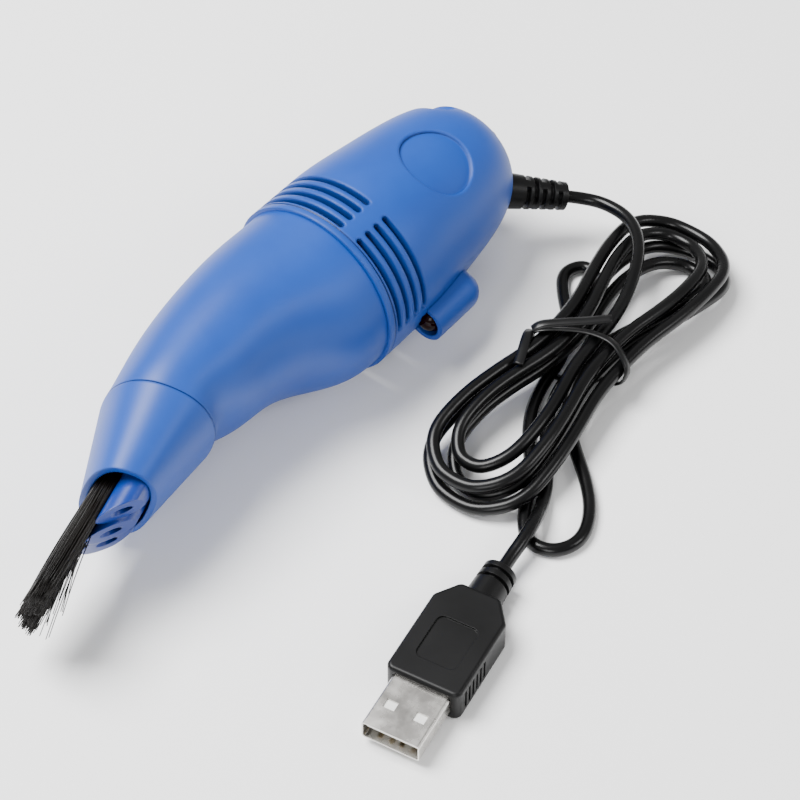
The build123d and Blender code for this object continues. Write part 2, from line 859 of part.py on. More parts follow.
def mouth_section(inset, offset):
    """Section of the mouth, moved along the nozzle."""
    return squircle(
        mouth_plane().offset(offset), mouth_half_height - inset, mouth_half_width - inset, mouth_squareness
    )


def make_nozzle_shell():
    """Tapering nozzle with a spigot that pushes into the dust cup."""
    spigot_inset = front_wall - socket_cut + slide_clearance
    bore_inset = spigot_inset + nozzle_spigot_wall
    cone = loft([seam_section(0, seam_gap), mouth_section(0, 0)])
    spigot = spigot_prism(spigot_inset, nozzle_spigot_length, 1)
    duct = loft([seam_section(bore_inset, 0), mouth_section(mouth_wall, 0.5)])
    throat = spigot_prism(bore_inset, nozzle_spigot_length + 1, 0)
    return cone + spigot - duct - throat


def tip_plane():
    """Plane across the tubes and brush at the middle of the mouth."""
    return section_plane(mouth_x, -mouth_drop, tip_angle)


def mouth_fill():
    """Column along the tubes that fills the mouth with a little room all round."""
    forward = tip_plane().z_dir
    start = Pos(forward * -tip_inset) * mouth_section(mouth_wall + seat_clearance, 0)
    return extrude(start, 3 * tip_inset, dir=forward)


def make_suction_tubes():
    """Three thick tubes side by side, joined along their length, with slanted ends."""
    frame = tip_plane()
    length = 2 * tip_inset + tube_reach
    oval = Ellipse(tube_pitch / 2 + tube_overlap, tube_half_height)
    tubes = None
    holes = []
    for i in (-1, 0, 1):
        middle = Pos(i * tube_pitch, tube_drop)
        body = extrude(frame.offset(-2 * tip_inset) * middle * oval, length + tip_inset)
        reach = tube_reach + (tube_middle_extra if i == 0 else 0)
        slant = Rot(-tube_cut_angle, 0, 0) * Pos(0, 0, length) * Box(2 * length, 4 * length, 2 * length)
        body -= frame * Pos(0, tube_drop - tube_half_height, reach) * slant
        tubes = body if tubes is None else tubes + body
        holes.append(extrude(frame.offset(-2 * tip_inset) * middle * Circle(tube_hole_radius), 2 * length))
    return (tubes & mouth_fill()) - holes


def make_brush_block():
    """Block above the tubes that holds the brush."""
    lower = tube_drop - tube_half_height - seat_clearance
    depth = mouth_half_height + mouth_drop
    front = -brush_block_front
    slab = Pos(0, lower - depth / 2, front - tip_inset) * Box(2 * mouth_half_width, depth, 2 * tip_inset)
    return tip_plane() * slab & mouth_fill()


def make_bristles():
    """Rows of stiff strands on a slice of their backing, fanning out a little to ragged tips."""
    frame = tip_plane()
    face_r = -brush_block_front
    lower_q = tube_drop - tube_half_height - 2 * seat_clearance
    slice_place = Pos(0, lower_q - brush_depth / 2, face_r + brush_backing / 2)
    backing = frame * slice_place * Box(brush_width, brush_depth, brush_backing) & mouth_fill()
    strands = []
    root = frame.offset(face_r + brush_backing / 2)
    for row in range(bristle_rows):
        height = (row + 0.5) / bristle_rows * (brush_depth - bristle_size)
        share = sqrt(1 - (height / brush_crown) ** 2)
        columns = round(share * bristle_columns)
        for column in range(columns):
            p = ((column + 0.5) / columns - 0.5) * share * (brush_width - 2 * bristle_size)
            ragged = ((row * 7 + column * 11) % 17) / 16
            length = bristle_length - bristle_ragged * ragged
            square = root * Pos(p, lower_q - height) * Rectangle(bristle_size, bristle_size)
            lean = Vector(p * (bristle_fan_width - 1), -height * (bristle_fan_depth - 1), length)
            away = frame.from_local_coords(lean) - frame.origin
            strands.append(Solid.extrude(square.face(), away))
    return backing.solid().fuse(*strands)


def biarc(p1, t1, p2, t2):
    """Two tangent arcs from p1 along t1 to p2 along t2."""
    v = p2 - p1
    t = t1 + t2
    k = 2 * (1 - t1.dot(t2))
    b = v.dot(t)
    if k < 1e-9:
        d = v.dot(v) / (2 * b)
    else:
        d = (-b + sqrt(b * b + k * v.dot(v))) / k
    q1 = p1 + t1 * d
    q2 = p2 - t2 * d
    joint = (q1 + q2) / 2
    first = Edge.make_tangent_arc(p1, t1, joint)
    second = Edge.make_tangent_arc(joint, q2 - q1, p2)
    return [first, second]


def hank_stops():
    """Places and headings round the hank, eight to a turn, spiralling out and in again."""
    lower_layer = hank_floor_layer + hank_step
    upper_layer = lower_layer + hank_step
    stops = []
    half = hank_turns / 2
    for i in range(8 * hank_turns + 1):
        turn = i / 8
        inset = hank_step * abs(turn - half)
        fall = min(1, max(0, (turn - half + 0.25) / 0.5))
        layer = upper_layer + (lower_layer - upper_layer) * fall
        waist = hank_inner_waist + hank_step * half - inset
        wide = hank_lobe_half_width - inset
        at_end = layer - hank_droop
        part_way = layer - 0.12 * hank_droop
        place, heading = [
            ((0, -waist, layer), (-1, 0)),
            ((-hank_lobe_widest, -wide, part_way), (-1, 0)),
            ((inset - hank_lower_reach, 0, at_end), (0, 1)),
            ((-hank_lobe_widest, wide, part_way), (1, 0)),
            ((0, waist, layer), (1, 0)),
            ((hank_lobe_widest, wide, part_way), (1, 0)),
            ((hank_upper_reach - inset, 0, at_end), (0, -1)),
            ((hank_lobe_widest, -wide, part_way), (-1, 0)),
        ][i % 8]
        centre = Vector(hank_waist[0], hank_waist[1], 0)
        stops.append((centre + Vector(*place), Vector(*heading, 0)))
    return stops


def cord_section(path):
    """Section of the cord at the start of a path."""
    plane = Plane(origin=path @ 0, z_dir=path % 0)
    return plane * RegularPolygon(cord_radius, cord_sides)


def report_tube(name, solid, path, section):
    """Print how a tube's volume compares with its section times its length."""
    expected = section.area * path.length
    print(f"{name}: length {path.length:.1f}, volume / (section x length) {solid.volume / expected:.4f}")


def make_cord_hank():
    """Loops of cord drawn in at the waist, one unbroken tube in two layers."""
    stops = hank_stops()
    edges = []
    for (p1, t1), (p2, t2) in zip(stops, stops[1:]):
        edges += biarc(p1, t1, p2, t2)
    path = Wire(edges)
    section = cord_section(path)
    solid = sweep(section, path=path).solid()
    report_tube("cord_hank", solid, path, section)
    samples = 30
    points = [edge @ (i / samples) for edge in edges for i in range(samples)]
    steps = [0.0]
    for a, b in zip(points, points[1:]):
        steps.append(steps[-1] + (b - a).length)
    least = min(
        (points[i] - points[j]).length
        for i in range(0, len(points))
        for j in range(i + 1, len(points))
        if steps[j] - steps[i] > 6 * cord_diameter
    )
    print(f"cord_hank: least gap to itself {least - cord_diameter:.2f}")
    return solid


def bend_radii(points):
    """Largest arc that each corner of a route has room for."""
    radii = []
    for a, b, c in zip(points, points[1:], points[2:]):
        before = Vector(b) - Vector(a)
        after = Vector(c) - Vector(b)
        half_turn = radians(before.get_angle(after)) / 2
        radii.append(0.45 * min(before.length, after.length) / tan(half_turn))
    return radii


def free_cord(name, points):
    """Tube along straight runs joined by tangent arcs."""
    radii = bend_radii(points)
    print(f"{name}: radii", " ".join(f"{r:.1f}" for r in radii))
    path = FilletPolyline(*points, radius=radii)
    section = cord_section(path)
    solid = sweep(section, path=path).solid()
    report_tube(name, solid, path, section)
    return solid


def relief_end():
    """Where the cord leaves the strain relief, in the rest pose."""
    a = radians(relief_angle)
    reach = relief_seat + relief_length
    return rest_point(Vector(relief_origin_x + reach * cos(a), 0, -reach * sin(a)))


def rest_point(point):
    """Body point in the rest pose."""
    return (rest_pose() * Pos(point)).position


def rest_pose():
    """Roll and height of the body as it lies."""
    return Pos(0, 0, axis_height) * Rot(belly_below_level - 90, 0, 0)


def make_cord_lead():
    """Cord from the strain relief, over the loops, to the hank."""
    a = radians(relief_angle)
    out = rest_point(Vector(cos(a), 0, -sin(a))) - rest_point(Vector(0, 0, 0))
    start = relief_end()
    end, heading = hank_stops()[0]
    before = end - heading * cord_end_run
    return free_cord("cord_lead", [start, start + out * cord_end_run, *cord_lead_route, before, end])


def plug_pose():
    """Plug's own frame: X towards the shell's mouth, from the grip's front face."""
    return Pos(plug_base[0], plug_base[1], plug_height) * Rot(0, 0, plug_heading)


def make_cord_tail():
    """Cord from the hank, round its stray loops, to the plug."""
    start, heading = hank_stops()[-1]
    after = start + heading * cord_end_run
    back = plug_grip_size[0] + plug_shoulder_length + plug_neck_length
    end = (plug_pose() * Pos(-back, 0, 0)).position
    before = (plug_pose() * Pos(-back - cord_end_run, 0, 0)).position
    return free_cord("cord_tail", [start, after, *cord_tail_route, before, end])


def make_twist_tie():
    """Flat wire tie round the waist of the hank, with its twisted end."""
    waist = [place.Y for place, heading in hank_stops()[::4]]
    near_y = min(waist) - cord_radius - tie_room
    far_y = max(waist) + cord_radius + tie_room
    top_z = hank_floor_layer + 2 * hank_step + cord_radius + tie_room
    low_z = tie_thickness + running_clearance
    plane = Plane(origin=(hank_waist[0] - tie_width / 2, 0, 0), x_dir=(0, 1, 0), z_dir=(1, 0, 0))
    middle = Pos((near_y + far_y) / 2, (low_z + top_z) / 2)
    inner = RectangleRounded(far_y - near_y, top_z - low_z, tie_corner)
    outer = RectangleRounded(
        far_y - near_y + 2 * tie_thickness, top_z - low_z + 2 * tie_thickness, tie_corner + tie_thickness
    )
    band = extrude(plane * middle * (outer - inner), tie_width)
    strip = Pos(-tie_tail_length / 2, 0, 0) * Box(tie_tail_length, tie_width / 2, tie_thickness)
    tail_at = Pos(hank_waist[0], far_y - tie_corner, top_z + tie_thickness / 2)
    return band + tail_at * Rot(0, 0, tie_tail_angle) * strip


def make_plug_shell():
    """Folded metal shell, open at the mouth, with two windows on each broad side."""
    length, width, height = plug_shell_size
    outer = Pos((length - plug_shell_depth) / 2, 0, 0) * Box(length + plug_shell_depth, width, height)
    outer = fillet(outer.edges().filter_by(Axis.X), 0.6)
    hollow = Pos((length - plug_shell_depth) / 2, 0, 0) * Box(
        length + plug_shell_depth + 2, width - 2 * plug_shell_wall, height - 2 * plug_shell_wall
    )
    hollow = fillet(hollow.edges().filter_by(Axis.X), 0.4)
    shell = outer - hollow
    for side in (-1, 1):
        shell -= Pos(length - plug_window_back, side * plug_window_offset, 0) * Box(*plug_window, height + 1)
    return shell


def tongue_top():
    """Height of the tongue's back, under the shell's upper side."""
    return plug_shell_size[2] / 2 - plug_shell_wall - seat_clearance


def make_plug_tongue():
    """Insulating tongue against the upper side of the shell, with its deeper root."""
    width, height = plug_tongue_size
    back = -plug_shell_depth
    front = plug_shell_size[0] - plug_tongue_recess
    root_height = plug_shell_size[2] - 2 * plug_shell_wall - 2 * seat_clearance
    tongue = Pos((back + front) / 2, 0, tongue_top() - height / 2) * Box(front - back, width, height)
    root = Pos(back + plug_tongue_root / 2, 0, 0) * Box(plug_tongue_root, width, root_height)
    return tongue + root


def make_plug_contacts():
    """Four contact strips under the tongue."""
    length, width, depth = plug_contact_size
    middle = plug_shell_size[0] - plug_tongue_recess - plug_contact_recess - length / 2
    height = tongue_top() - plug_tongue_size[1] - depth / 2
    strips = []
    for y in plug_contact_offsets:
        strip = Pos(middle, y, height) * Box(length, width, depth)
        strips.append(strip.solid())
    return Compound(strips)


def make_plug_grip():
    """Moulded grip with sloping shoulders, ribbed sides, a bare sunken panel and a grooved neck."""
    length, width, height = plug_grip_size
    shoulder = plug_shoulder_length
    outline = Polyline(
        (0, -width / 2),
        (0, width / 2),
        (-length, width / 2),
        (-length - shoulder, plug_shoulder_width / 2),
        (-length - shoulder, -plug_shoulder_width / 2),
        (-length, -width / 2),
        close=True,
    )
    grip = extrude(Pos(0, 0, -height / 2) * make_face(outline), height)
    grip = fillet(grip.edges().filter_by(Axis.Z), plug_grip_corner)
    flats = grip.faces().sort_by(Axis.Z)
    grip = fillet(flats[0].edges() + flats[-1].edges(), plug_edge)
    panel = Pos(-length / 2 - 0.5, 0, height / 2) * extrude(
        RectangleRounded(*plug_panel_size, plug_panel_corner), plug_panel_depth, both=True
    )
    neck_start = -length - shoulder
    neck = Pos(neck_start - plug_neck_length / 2 + 0.5, 0, 0) * Rot(0, -90, 0) * Cone(
        plug_neck_radius, plug_neck_end_radius, plug_neck_length + 1
    )
    end = neck_start - plug_neck_length
    grip += neck
    for i in range(2):
        at = end + plug_neck_ring + plug_neck_groove / 2 + i * (plug_neck_groove + plug_neck_ring)
        ring = Cylinder(plug_neck_radius + 1, plug_neck_groove) - Cylinder(
            plug_neck_end_radius - plug_neck_groove_depth, plug_neck_groove
        )
        grip -= Pos(at, 0, 0) * Rot(0, 90, 0) * ring
    socket = Pos(-plug_shell_depth / 2, 0, 0) * Box(
        plug_shell_depth, plug_shell_size[1] + 2 * seat_clearance, plug_shell_size[2] + 2 * seat_clearance
    )
    rib_cuts = []
    for i in range(plug_ribs):
        for side in (-1, 1):
            at = Pos(-plug_rib_start - i * plug_rib_pitch, side * width / 2, 0)
            rib_cuts.append(at * Box(plug_rib_cut[0], 2 * plug_rib_cut[1], plug_rib_cut[2]))
    return grip - panel - socket - rib_cuts


body_pieces = {
    "rear_housing": make_rear_housing,
    "lamp_pod": make_lamp_pod,
    "lamp": make_lamp,
    "coupling_ring": make_coupling_ring,
    "filter_frame": make_filter_frame,
    "filter_cloth": make_filter_cloth,
    "inlet_plate": make_inlet_plate,
    "impeller": make_impeller,
    "motor_shaft": make_motor_shaft,
    "motor_rotor": make_motor_rotor,
    "motor_plate": make_motor_plate,
    "motor_can": make_motor_can,
    "motor_magnets": make_motor_magnets,
    "motor_cap": make_motor_cap,
    "motor_terminals": make_motor_terminals,
    "motor_screws": make_motor_screws,
    "switch_plate": make_switch_plate,
    "switch_body": make_switch_body,
    "switch_knob": make_switch_knob,
    "circuit_board": make_circuit_board,
    "motor_leads": make_motor_leads,
    "lamp_leads": make_lamp_leads,
    "supply_leads": make_supply_leads,
    "strain_relief": make_strain_relief,
    "front_housing": make_front_housing,
    "nozzle_shell": make_nozzle_shell,
    "suction_tubes": make_suction_tubes,
    "brush_block": make_brush_block,
    "bristles": make_bristles,
}
cord_pieces = {
    "cord_lead": make_cord_lead,
    "cord_hank": make_cord_hank,
    "cord_tail": make_cord_tail,
    "twist_tie": make_twist_tie,
}
plug_pieces = {
    "plug_grip": make_plug_grip,
    "plug_shell": make_plug_shell,
    "plug_tongue": make_plug_tongue,
    "plug_contacts": make_plug_contacts,
}


def main():
    """Build every piece, set the origin under the middle of the body and write the files."""
    os.makedirs("parts", exist_ok=True)
    body = {name: rest_pose() * make() for name, make in body_pieces.items()}
    box = Compound([solid for piece in body.values() for solid in piece.solids()]).bounding_box()
    origin = Pos(-box.center().X, -box.center().Y, -box.min.Z)
    seam_x, seam_y = -box.center().X, -box.center().Y
    print(f"main seam at x {seam_x:.4f}, y {seam_y:.4f}, axis z {axis_height - box.min.Z:.4f}")
    cord = {name: make() for name, make in cord_pieces.items()}
    plug = {name: plug_pose() * make() for name, make in plug_pieces.items()}
    for name, piece in {**body, **cord, **plug}.items():
        export_step(origin * piece, f"parts/{name}.step")


main()
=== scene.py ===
import json
import random
from math import cos, radians, sin, sqrt

import bmesh
import bpy
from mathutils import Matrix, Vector


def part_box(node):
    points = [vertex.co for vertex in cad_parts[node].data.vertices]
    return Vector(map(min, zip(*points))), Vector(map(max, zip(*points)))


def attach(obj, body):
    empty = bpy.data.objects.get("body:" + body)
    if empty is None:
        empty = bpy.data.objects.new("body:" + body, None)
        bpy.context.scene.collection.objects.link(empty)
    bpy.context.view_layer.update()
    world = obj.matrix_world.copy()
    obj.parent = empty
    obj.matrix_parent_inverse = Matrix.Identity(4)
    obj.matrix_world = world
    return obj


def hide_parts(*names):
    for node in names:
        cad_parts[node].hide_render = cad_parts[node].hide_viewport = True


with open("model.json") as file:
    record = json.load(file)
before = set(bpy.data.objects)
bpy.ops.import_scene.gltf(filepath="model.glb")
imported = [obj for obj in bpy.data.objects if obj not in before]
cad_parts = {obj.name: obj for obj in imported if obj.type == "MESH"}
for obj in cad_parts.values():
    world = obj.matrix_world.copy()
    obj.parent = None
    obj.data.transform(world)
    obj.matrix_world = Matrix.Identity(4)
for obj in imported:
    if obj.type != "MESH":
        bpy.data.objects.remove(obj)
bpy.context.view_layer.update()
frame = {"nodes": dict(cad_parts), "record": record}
nodes = frame["nodes"]
scene = bpy.context.scene

# The cleaner lies on a pale floor. Routes are in millimetres, from the point of the floor that is
# under the body's axis at the main seam.
ring_seat_length = 0.0019
ring_low, ring_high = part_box("coupling_ring")
seam = Vector((ring_high.x - ring_seat_length, (ring_low.y + ring_high.y) / 2, 0.0))
axis_height = 20.0
body_roll = radians(22.0)


def place(x, y, z):
    """Point of a route in millimetres, in the shared frame in metres."""
    return seam + Vector((x, y, z)) / 1000


def on_body(x, y, z):
    """Point of the rolled body: x to the tail, y to the flank on the floor, z to the back."""
    across = y * sin(body_roll) + z * cos(body_roll)
    return place(x, across, axis_height - y * cos(body_roll) + z * sin(body_roll))


def link_object(name, data):
    """New object in the scene."""
    item = bpy.data.objects.new(name, data)
    scene.collection.objects.link(item)
    return item


def add_piece(name, data, material, body="rear_body"):
    """New piece of the cleaner that rides on a body."""
    piece = link_object(name, data)
    data.materials.append(material)
    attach(piece, body)
    return piece


def face(item, at, target):
    """Stand a camera or light at a point and turn it to a target."""
    item.location = at
    item.rotation_euler = (target - at).to_track_quat("-Z", "Y").to_euler()


# Camera at the photograph's place
camera_data = bpy.data.cameras.new("camera")
camera_data.sensor_width = 36.0
camera_data.lens = 108.0
camera_data.clip_start = 0.01
camera = link_object("camera", camera_data)
face(camera, place(-262.7, -227.5, 371.6), place(0.93, -21.5, 0.0))
scene.camera = camera

# Materials: sizes in millimetres
noise_roughness = 0.55
noise_range = (0.3, 0.7)
mottle_size = 14.0
mottle_gloss = (-0.03, 0.04)
# reach and range of the painted shade that darkens hollows
painted_shade_reach = 4.0
painted_shade_range = (0.1, 0.45)
smudge_size = 4.0
smudge_gloss = (-0.06, 0.08)
line_width = 0.25


def new_material(name):
    """Material with its nodes and its shader."""
    material = bpy.data.materials.new(name)
    material.use_nodes = True
    tree = material.node_tree
    return material, tree, tree.nodes["Principled BSDF"]


def add_place(tree):
    """Object coordinates in millimetres."""
    where = tree.nodes.new("ShaderNodeTexCoord")
    scale = tree.nodes.new("ShaderNodeMapping")
    scale.inputs["Scale"].default_value = (1000, 1000, 1000)
    tree.links.new(where.outputs["Object"], scale.inputs["Vector"])
    return scale.outputs["Vector"]


def add_noise(tree, vector, size, detail):
    """Noise whose grains are about size millimetres across."""
    grain = tree.nodes.new("ShaderNodeTexNoise")
    grain.inputs["Scale"].default_value = 1.0 / size
    grain.inputs["Detail"].default_value = detail
    grain.inputs["Roughness"].default_value = noise_roughness
    tree.links.new(vector, grain.inputs["Vector"])
    return grain.outputs["Fac"]


def spread(tree, value, low=0.0, high=1.0, used=noise_range):
    """Map the used part of a value, by default a noise, to a range."""
    ramp = tree.nodes.new("ShaderNodeMapRange")
    ramp.inputs["From Min"].default_value = used[0]
    ramp.inputs["From Max"].default_value = used[1]
    ramp.inputs["To Min"].default_value = low
    ramp.inputs["To Max"].default_value = high
    tree.links.new(value, ramp.inputs["Value"])
    return ramp.outputs["Result"]


def mix_colours(tree, value, first, second):
    """Colour between two by a value. The second may be another node's colour."""
    mix = tree.nodes.new("ShaderNodeMix")
    mix.data_type = "RGBA"
    mix.inputs["A"].default_value = (*first, 1)
    if isinstance(second, bpy.types.NodeSocket):
        tree.links.new(second, mix.inputs["B"])
    else:
        mix.inputs["B"].default_value = (*second, 1)
    tree.links.new(value, mix.inputs["Factor"])
    return mix.outputs["Result"]


def add_bump(tree, shader, height, strength, distance, edge=0.0):
    """Bump in millimetres, over edges that look rounded."""
    bump = tree.nodes.new("ShaderNodeBump")
    if edge:
        soft = tree.nodes.new("ShaderNodeBevel")
        soft.samples = 6
        soft.inputs["Radius"].default_value = edge / 1000
        tree.links.new(soft.outputs["Normal"], bump.inputs["Normal"])
    bump.inputs["Strength"].default_value = strength
    bump.inputs["Distance"].default_value = distance / 1000
    tree.links.new(height, bump.inputs["Height"])
    tree.links.new(bump.outputs["Normal"], shader.inputs["Normal"])


def moulded(
    name, first, second, rough, grain, depth, coat=0.0, edge=0.0, shine=0.5, painted_shade=None
):
    """Plastic, rubber or felt: slight mottling, fine grain, uneven gloss and painted shade that
    darkens hollows.
    """
    material, tree, shader = new_material(name)
    vector = add_place(tree)
    cloudy = add_noise(tree, vector, mottle_size, detail=4.0)
    fine = add_noise(tree, vector, grain, detail=2.0)
    colour = mix_colours(tree, spread(tree, cloudy), first, second)
    # painted shade: ambient occlusion darkens the colour towards a navy in hollows, where shade
    # falls
    if painted_shade:
        shade = tree.nodes.new("ShaderNodeAmbientOcclusion")
        shade.samples = 8
        shade.only_local = True
        shade.inputs["Distance"].default_value = painted_shade_reach / 1000
        unshaded_share = spread(tree, shade.outputs["AO"], used=painted_shade_range)
        colour = mix_colours(tree, unshaded_share, painted_shade, colour)
    gloss = spread(tree, cloudy, rough + mottle_gloss[0], rough + mottle_gloss[1])
    tree.links.new(colour, shader.inputs["Base Color"])
    tree.links.new(gloss, shader.inputs["Roughness"])
    shader.inputs["Specular IOR Level"].default_value = shine
    shader.inputs["Coat Weight"].default_value = coat
    shader.inputs["Coat Roughness"].default_value = 0.3
    add_bump(tree, shader, fine, strength=0.35, distance=depth, edge=edge)
    return material


def metal(name, first, second, rough, squeeze):
    """Drawn or rolled metal with fine lines along x and faint smudges."""
    material, tree, shader = new_material(name)
    vector = add_place(tree)
    stretch = tree.nodes.new("ShaderNodeMapping")
    stretch.inputs["Scale"].default_value = (squeeze, 1.0, 1.0)
    tree.links.new(vector, stretch.inputs["Vector"])
    lines = add_noise(tree, stretch.outputs["Vector"], line_width, detail=2.0)
    smudge = add_noise(tree, vector, smudge_size, detail=4.0)
    colour = mix_colours(tree, spread(tree, smudge), first, second)
    gloss = spread(tree, smudge, rough + smudge_gloss[0], rough + smudge_gloss[1])
    tree.links.new(colour, shader.inputs["Base Color"])
    tree.links.new(gloss, shader.inputs["Roughness"])
    shader.inputs["Metallic"].default_value = 1.0
    add_bump(tree, shader, lines, strength=0.25, distance=0.01)
    return material


# navy painted into hollows as painted shade
painted_shade_navy = (0.001, 0.012, 0.1)
outer_blues = {
    "first": (0.001, 0.046, 0.285),
    "second": (0.0015, 0.054, 0.32),
    "rough": 0.46,
    "grain": 0.22,
    "depth": 0.012,
    "shine": 0.45,
    "painted_shade": painted_shade_navy,
}
blue = moulded("blue_plastic", edge=0.6, **outer_blues)
blue_soft = moulded("blue_plastic_soft", edge=0.9, **outer_blues)
# darker blue for the suction tubes: painted shade of the nozzle mouth they sit in
blue_tubes_painted_shade = moulded(
    "blue_plastic_tubes_painted_shade",
    (0.0006, 0.024, 0.2),
    (0.001, 0.03, 0.23),
    rough=0.34,
    grain=0.22,
    depth=0.012,
    edge=0.4,
    painted_shade=painted_shade_navy,
)
# darker, duller blue for the inner pieces: painted shade of the housing's inside
blue_inside_painted_shade = moulded(
    "blue_plastic_inside_painted_shade",
    (0.001, 0.016, 0.11),
    (0.002, 0.022, 0.14),
    rough=0.5,
    grain=0.2,
    depth=0.02,
    shine=0.3,
)
black = moulded(
    "black_plastic",
    (0.002, 0.002, 0.0021),
    (0.0035, 0.0035, 0.0037),
    rough=0.4,
    grain=0.25,
    depth=0.03,
    edge=0.3,
    shine=0.22,
)
rubber = moulded(
    "black_rubber",
    (0.002, 0.002, 0.0021),
    (0.003, 0.003, 0.0032),
    rough=0.4,
    grain=0.3,
    depth=0.02,
    edge=0.2,
    shine=0.22,
)
cord_skin = moulded(
    "cord_skin",
    (0.0015, 0.0015, 0.0016),
    (0.0025, 0.0025, 0.0027),
    rough=0.26,
    grain=0.5,
    depth=0.012,
    shine=0.25,
)
tie_skin = moulded(
    "tie_skin",
    (0.002, 0.002, 0.0022),
    (0.004, 0.004, 0.0043),
    rough=0.32,
    grain=0.4,
    depth=0.03,
    shine=0.3,
)
bristle = moulded(
    "bristle_strands",
    (0.0015, 0.0012, 0.001),
    (0.006, 0.0045, 0.0035),
    rough=0.34,
    grain=0.6,
    depth=0.01,
    shine=0.25,
)
lens = moulded(
    "lamp_lens",
    (0.006, 0.0004, 0.0006),
    (0.012, 0.0008, 0.001),
    rough=0.08,
    grain=2.0,
    depth=0.004,
    shine=0.12,
)
white = moulded(
    "white_plastic",
    (0.72, 0.72, 0.69),
    (0.78, 0.78, 0.76),
    rough=0.42,
    grain=0.25,
    depth=0.015,
)
# dark grey for the white impeller: painted shade of the inside of the housing
impeller_painted_shade = moulded(
    "impeller_painted_shade_grey",
    (0.05, 0.052, 0.056),
    (0.07, 0.072, 0.076),
    rough=0.4,
    grain=0.25,
    depth=0.015,
)
felt = moulded(
    "felt",
    (0.68, 0.67, 0.62),
    (0.8, 0.79, 0.75),
    rough=0.9,
    grain=0.35,
    depth=0.12,
)
board = moulded(
    "board_lacquer",
    (0.02, 0.11, 0.04),
    (0.03, 0.15, 0.06),
    rough=0.28,
    grain=0.8,
    depth=0.02,
    coat=0.3,
)
leads = moulded(
    "lead_insulation",
    (0.32, 0.02, 0.02),
    (0.4, 0.03, 0.03),
    rough=0.4,
    grain=0.4,
    depth=0.01,
)
magnet = moulded(
    "magnet",
    (0.06, 0.06, 0.065),
    (0.09, 0.09, 0.095),
    rough=0.6,
    grain=0.3,
    depth=0.03,
)
nickel = metal("nickel_steel", (0.6, 0.58, 0.55), (0.68, 0.66, 0.63), rough=0.26, squeeze=0.12)
steel = metal("steel", (0.5, 0.5, 0.5), (0.58, 0.58, 0.57), rough=0.3, squeeze=0.15)
brass = metal("brass", (0.72, 0.52, 0.2), (0.8, 0.6, 0.26), rough=0.25, squeeze=0.2)

by_slot = {
    "blue_plastic": blue,
    "black_plastic": black,
    "black_rubber": rubber,
    "bristle": bristle,
    "lens": lens,
    "nickel_steel": nickel,
    "steel": steel,
    "brass": brass,
    "magnet": magnet,
    "white_plastic": white,
    "felt": felt,
    "board": board,
    "lead_insulation": leads,
}
# pieces that look unlike the rest of their slot
by_node = {
    # inner pieces: blue with painted shade of the housing's inside
    "coupling_ring": blue_inside_painted_shade,
    "inlet_plate": blue_inside_painted_shade,
    "brush_block": blue_inside_painted_shade,
    "rear_housing": blue_soft,
    # suction tubes: darker blue with painted shade of the mouth
    "suction_tubes": blue_tubes_painted_shade,
    # impeller: white plastic darkened to grey as painted shade
    "impeller": impeller_painted_shade,
}
for part in frame["record"]["subparts"]:
    data = nodes[part["node"]].data
    data.materials.clear()
    data.materials.append(by_node.get(part["node"], by_slot[part["material_slot"]]))


# Mesh pieces
def sweep_mesh(name, paths, section, across):
    """Mesh of a section carried along each path, with its width turned towards across.

    The section gives its corners at a share of the way along.
    """
    mesh = bpy.data.meshes.new(name)
    build = bmesh.new()
    for path in paths:
        rings = []
        last = len(path) - 1
        for i, at in enumerate(path):
            ahead = path[min(i + 1, last)] - path[max(i - 1, 0)]
            side = (across - ahead * (across.dot(ahead) / ahead.length_squared)).normalized()
            up = ahead.cross(side).normalized()
            corners = [at + side * a + up * b for a, b in section(i / last)]
            rings.append([build.verts.new(place(*corner)) for corner in corners])
        for first, second in zip(rings, rings[1:]):
            for k in range(len(first)):
                n = (k + 1) % len(first)
                build.faces.new((first[k], first[n], second[n], second[k]))
        build.faces.new(reversed(rings[0]))
        build.faces.new(rings[-1])
    for surface in build.faces:
        surface.smooth = True
    bmesh.ops.recalc_face_normals(build, faces=build.faces)
    build.to_mesh(mesh)
    build.free()
    return mesh


# Cord: from the strain relief over the loops, round the hank, through its stray loops to the plug
cord_diameter = 2.8
cord_run_in = 4.0
relief_angle = radians(45)
relief_origin = Vector((40.5, 0, axis_height))
relief_seat = 16.0
relief_length = 13.8
plug_heading = radians(189.5)
plug_grip_front = Vector((-57.3, -72.0, 3.9))
plug_grip_length = 19.4
plug_shoulder_length = 4.8
plug_neck_length = 8.2

hank_step = 3.7
hank_turns = 4
hank_waist = (30.5, -47.0)
hank_inner_waist = 1.75
hank_lower_reach = 45.8
hank_upper_reach = 45.2
hank_lobe_half_width = 13.2
hank_droop = 4.4
# the tail's height under the waist, and how many turns the change of layer takes
tail_height = 2.3
layer_change = 0.5
lower_layer = tail_height + hank_step
upper_layer = lower_layer + hank_step
# A quarter of a turn, from the waist to the lobe's tip: shares of the reach, the width and the
# droop. The flank's width counts from the waist to the lobe's full width, the end's from nothing.
lobe_flank = [
    (0.0, 0.0, 0.0),
    (0.2, 0.12, 0.0),
    (0.42, 0.66, 0.04),
    (0.64, 1.02, 0.14),
    (0.87, 0.98, 0.5),
]
lobe_end = [
    (1.0, 0.5, 0.9),
    (1.02, 0.0, 1.0),
]
quarter_points = len(lobe_flank) + len(lobe_end) - 1
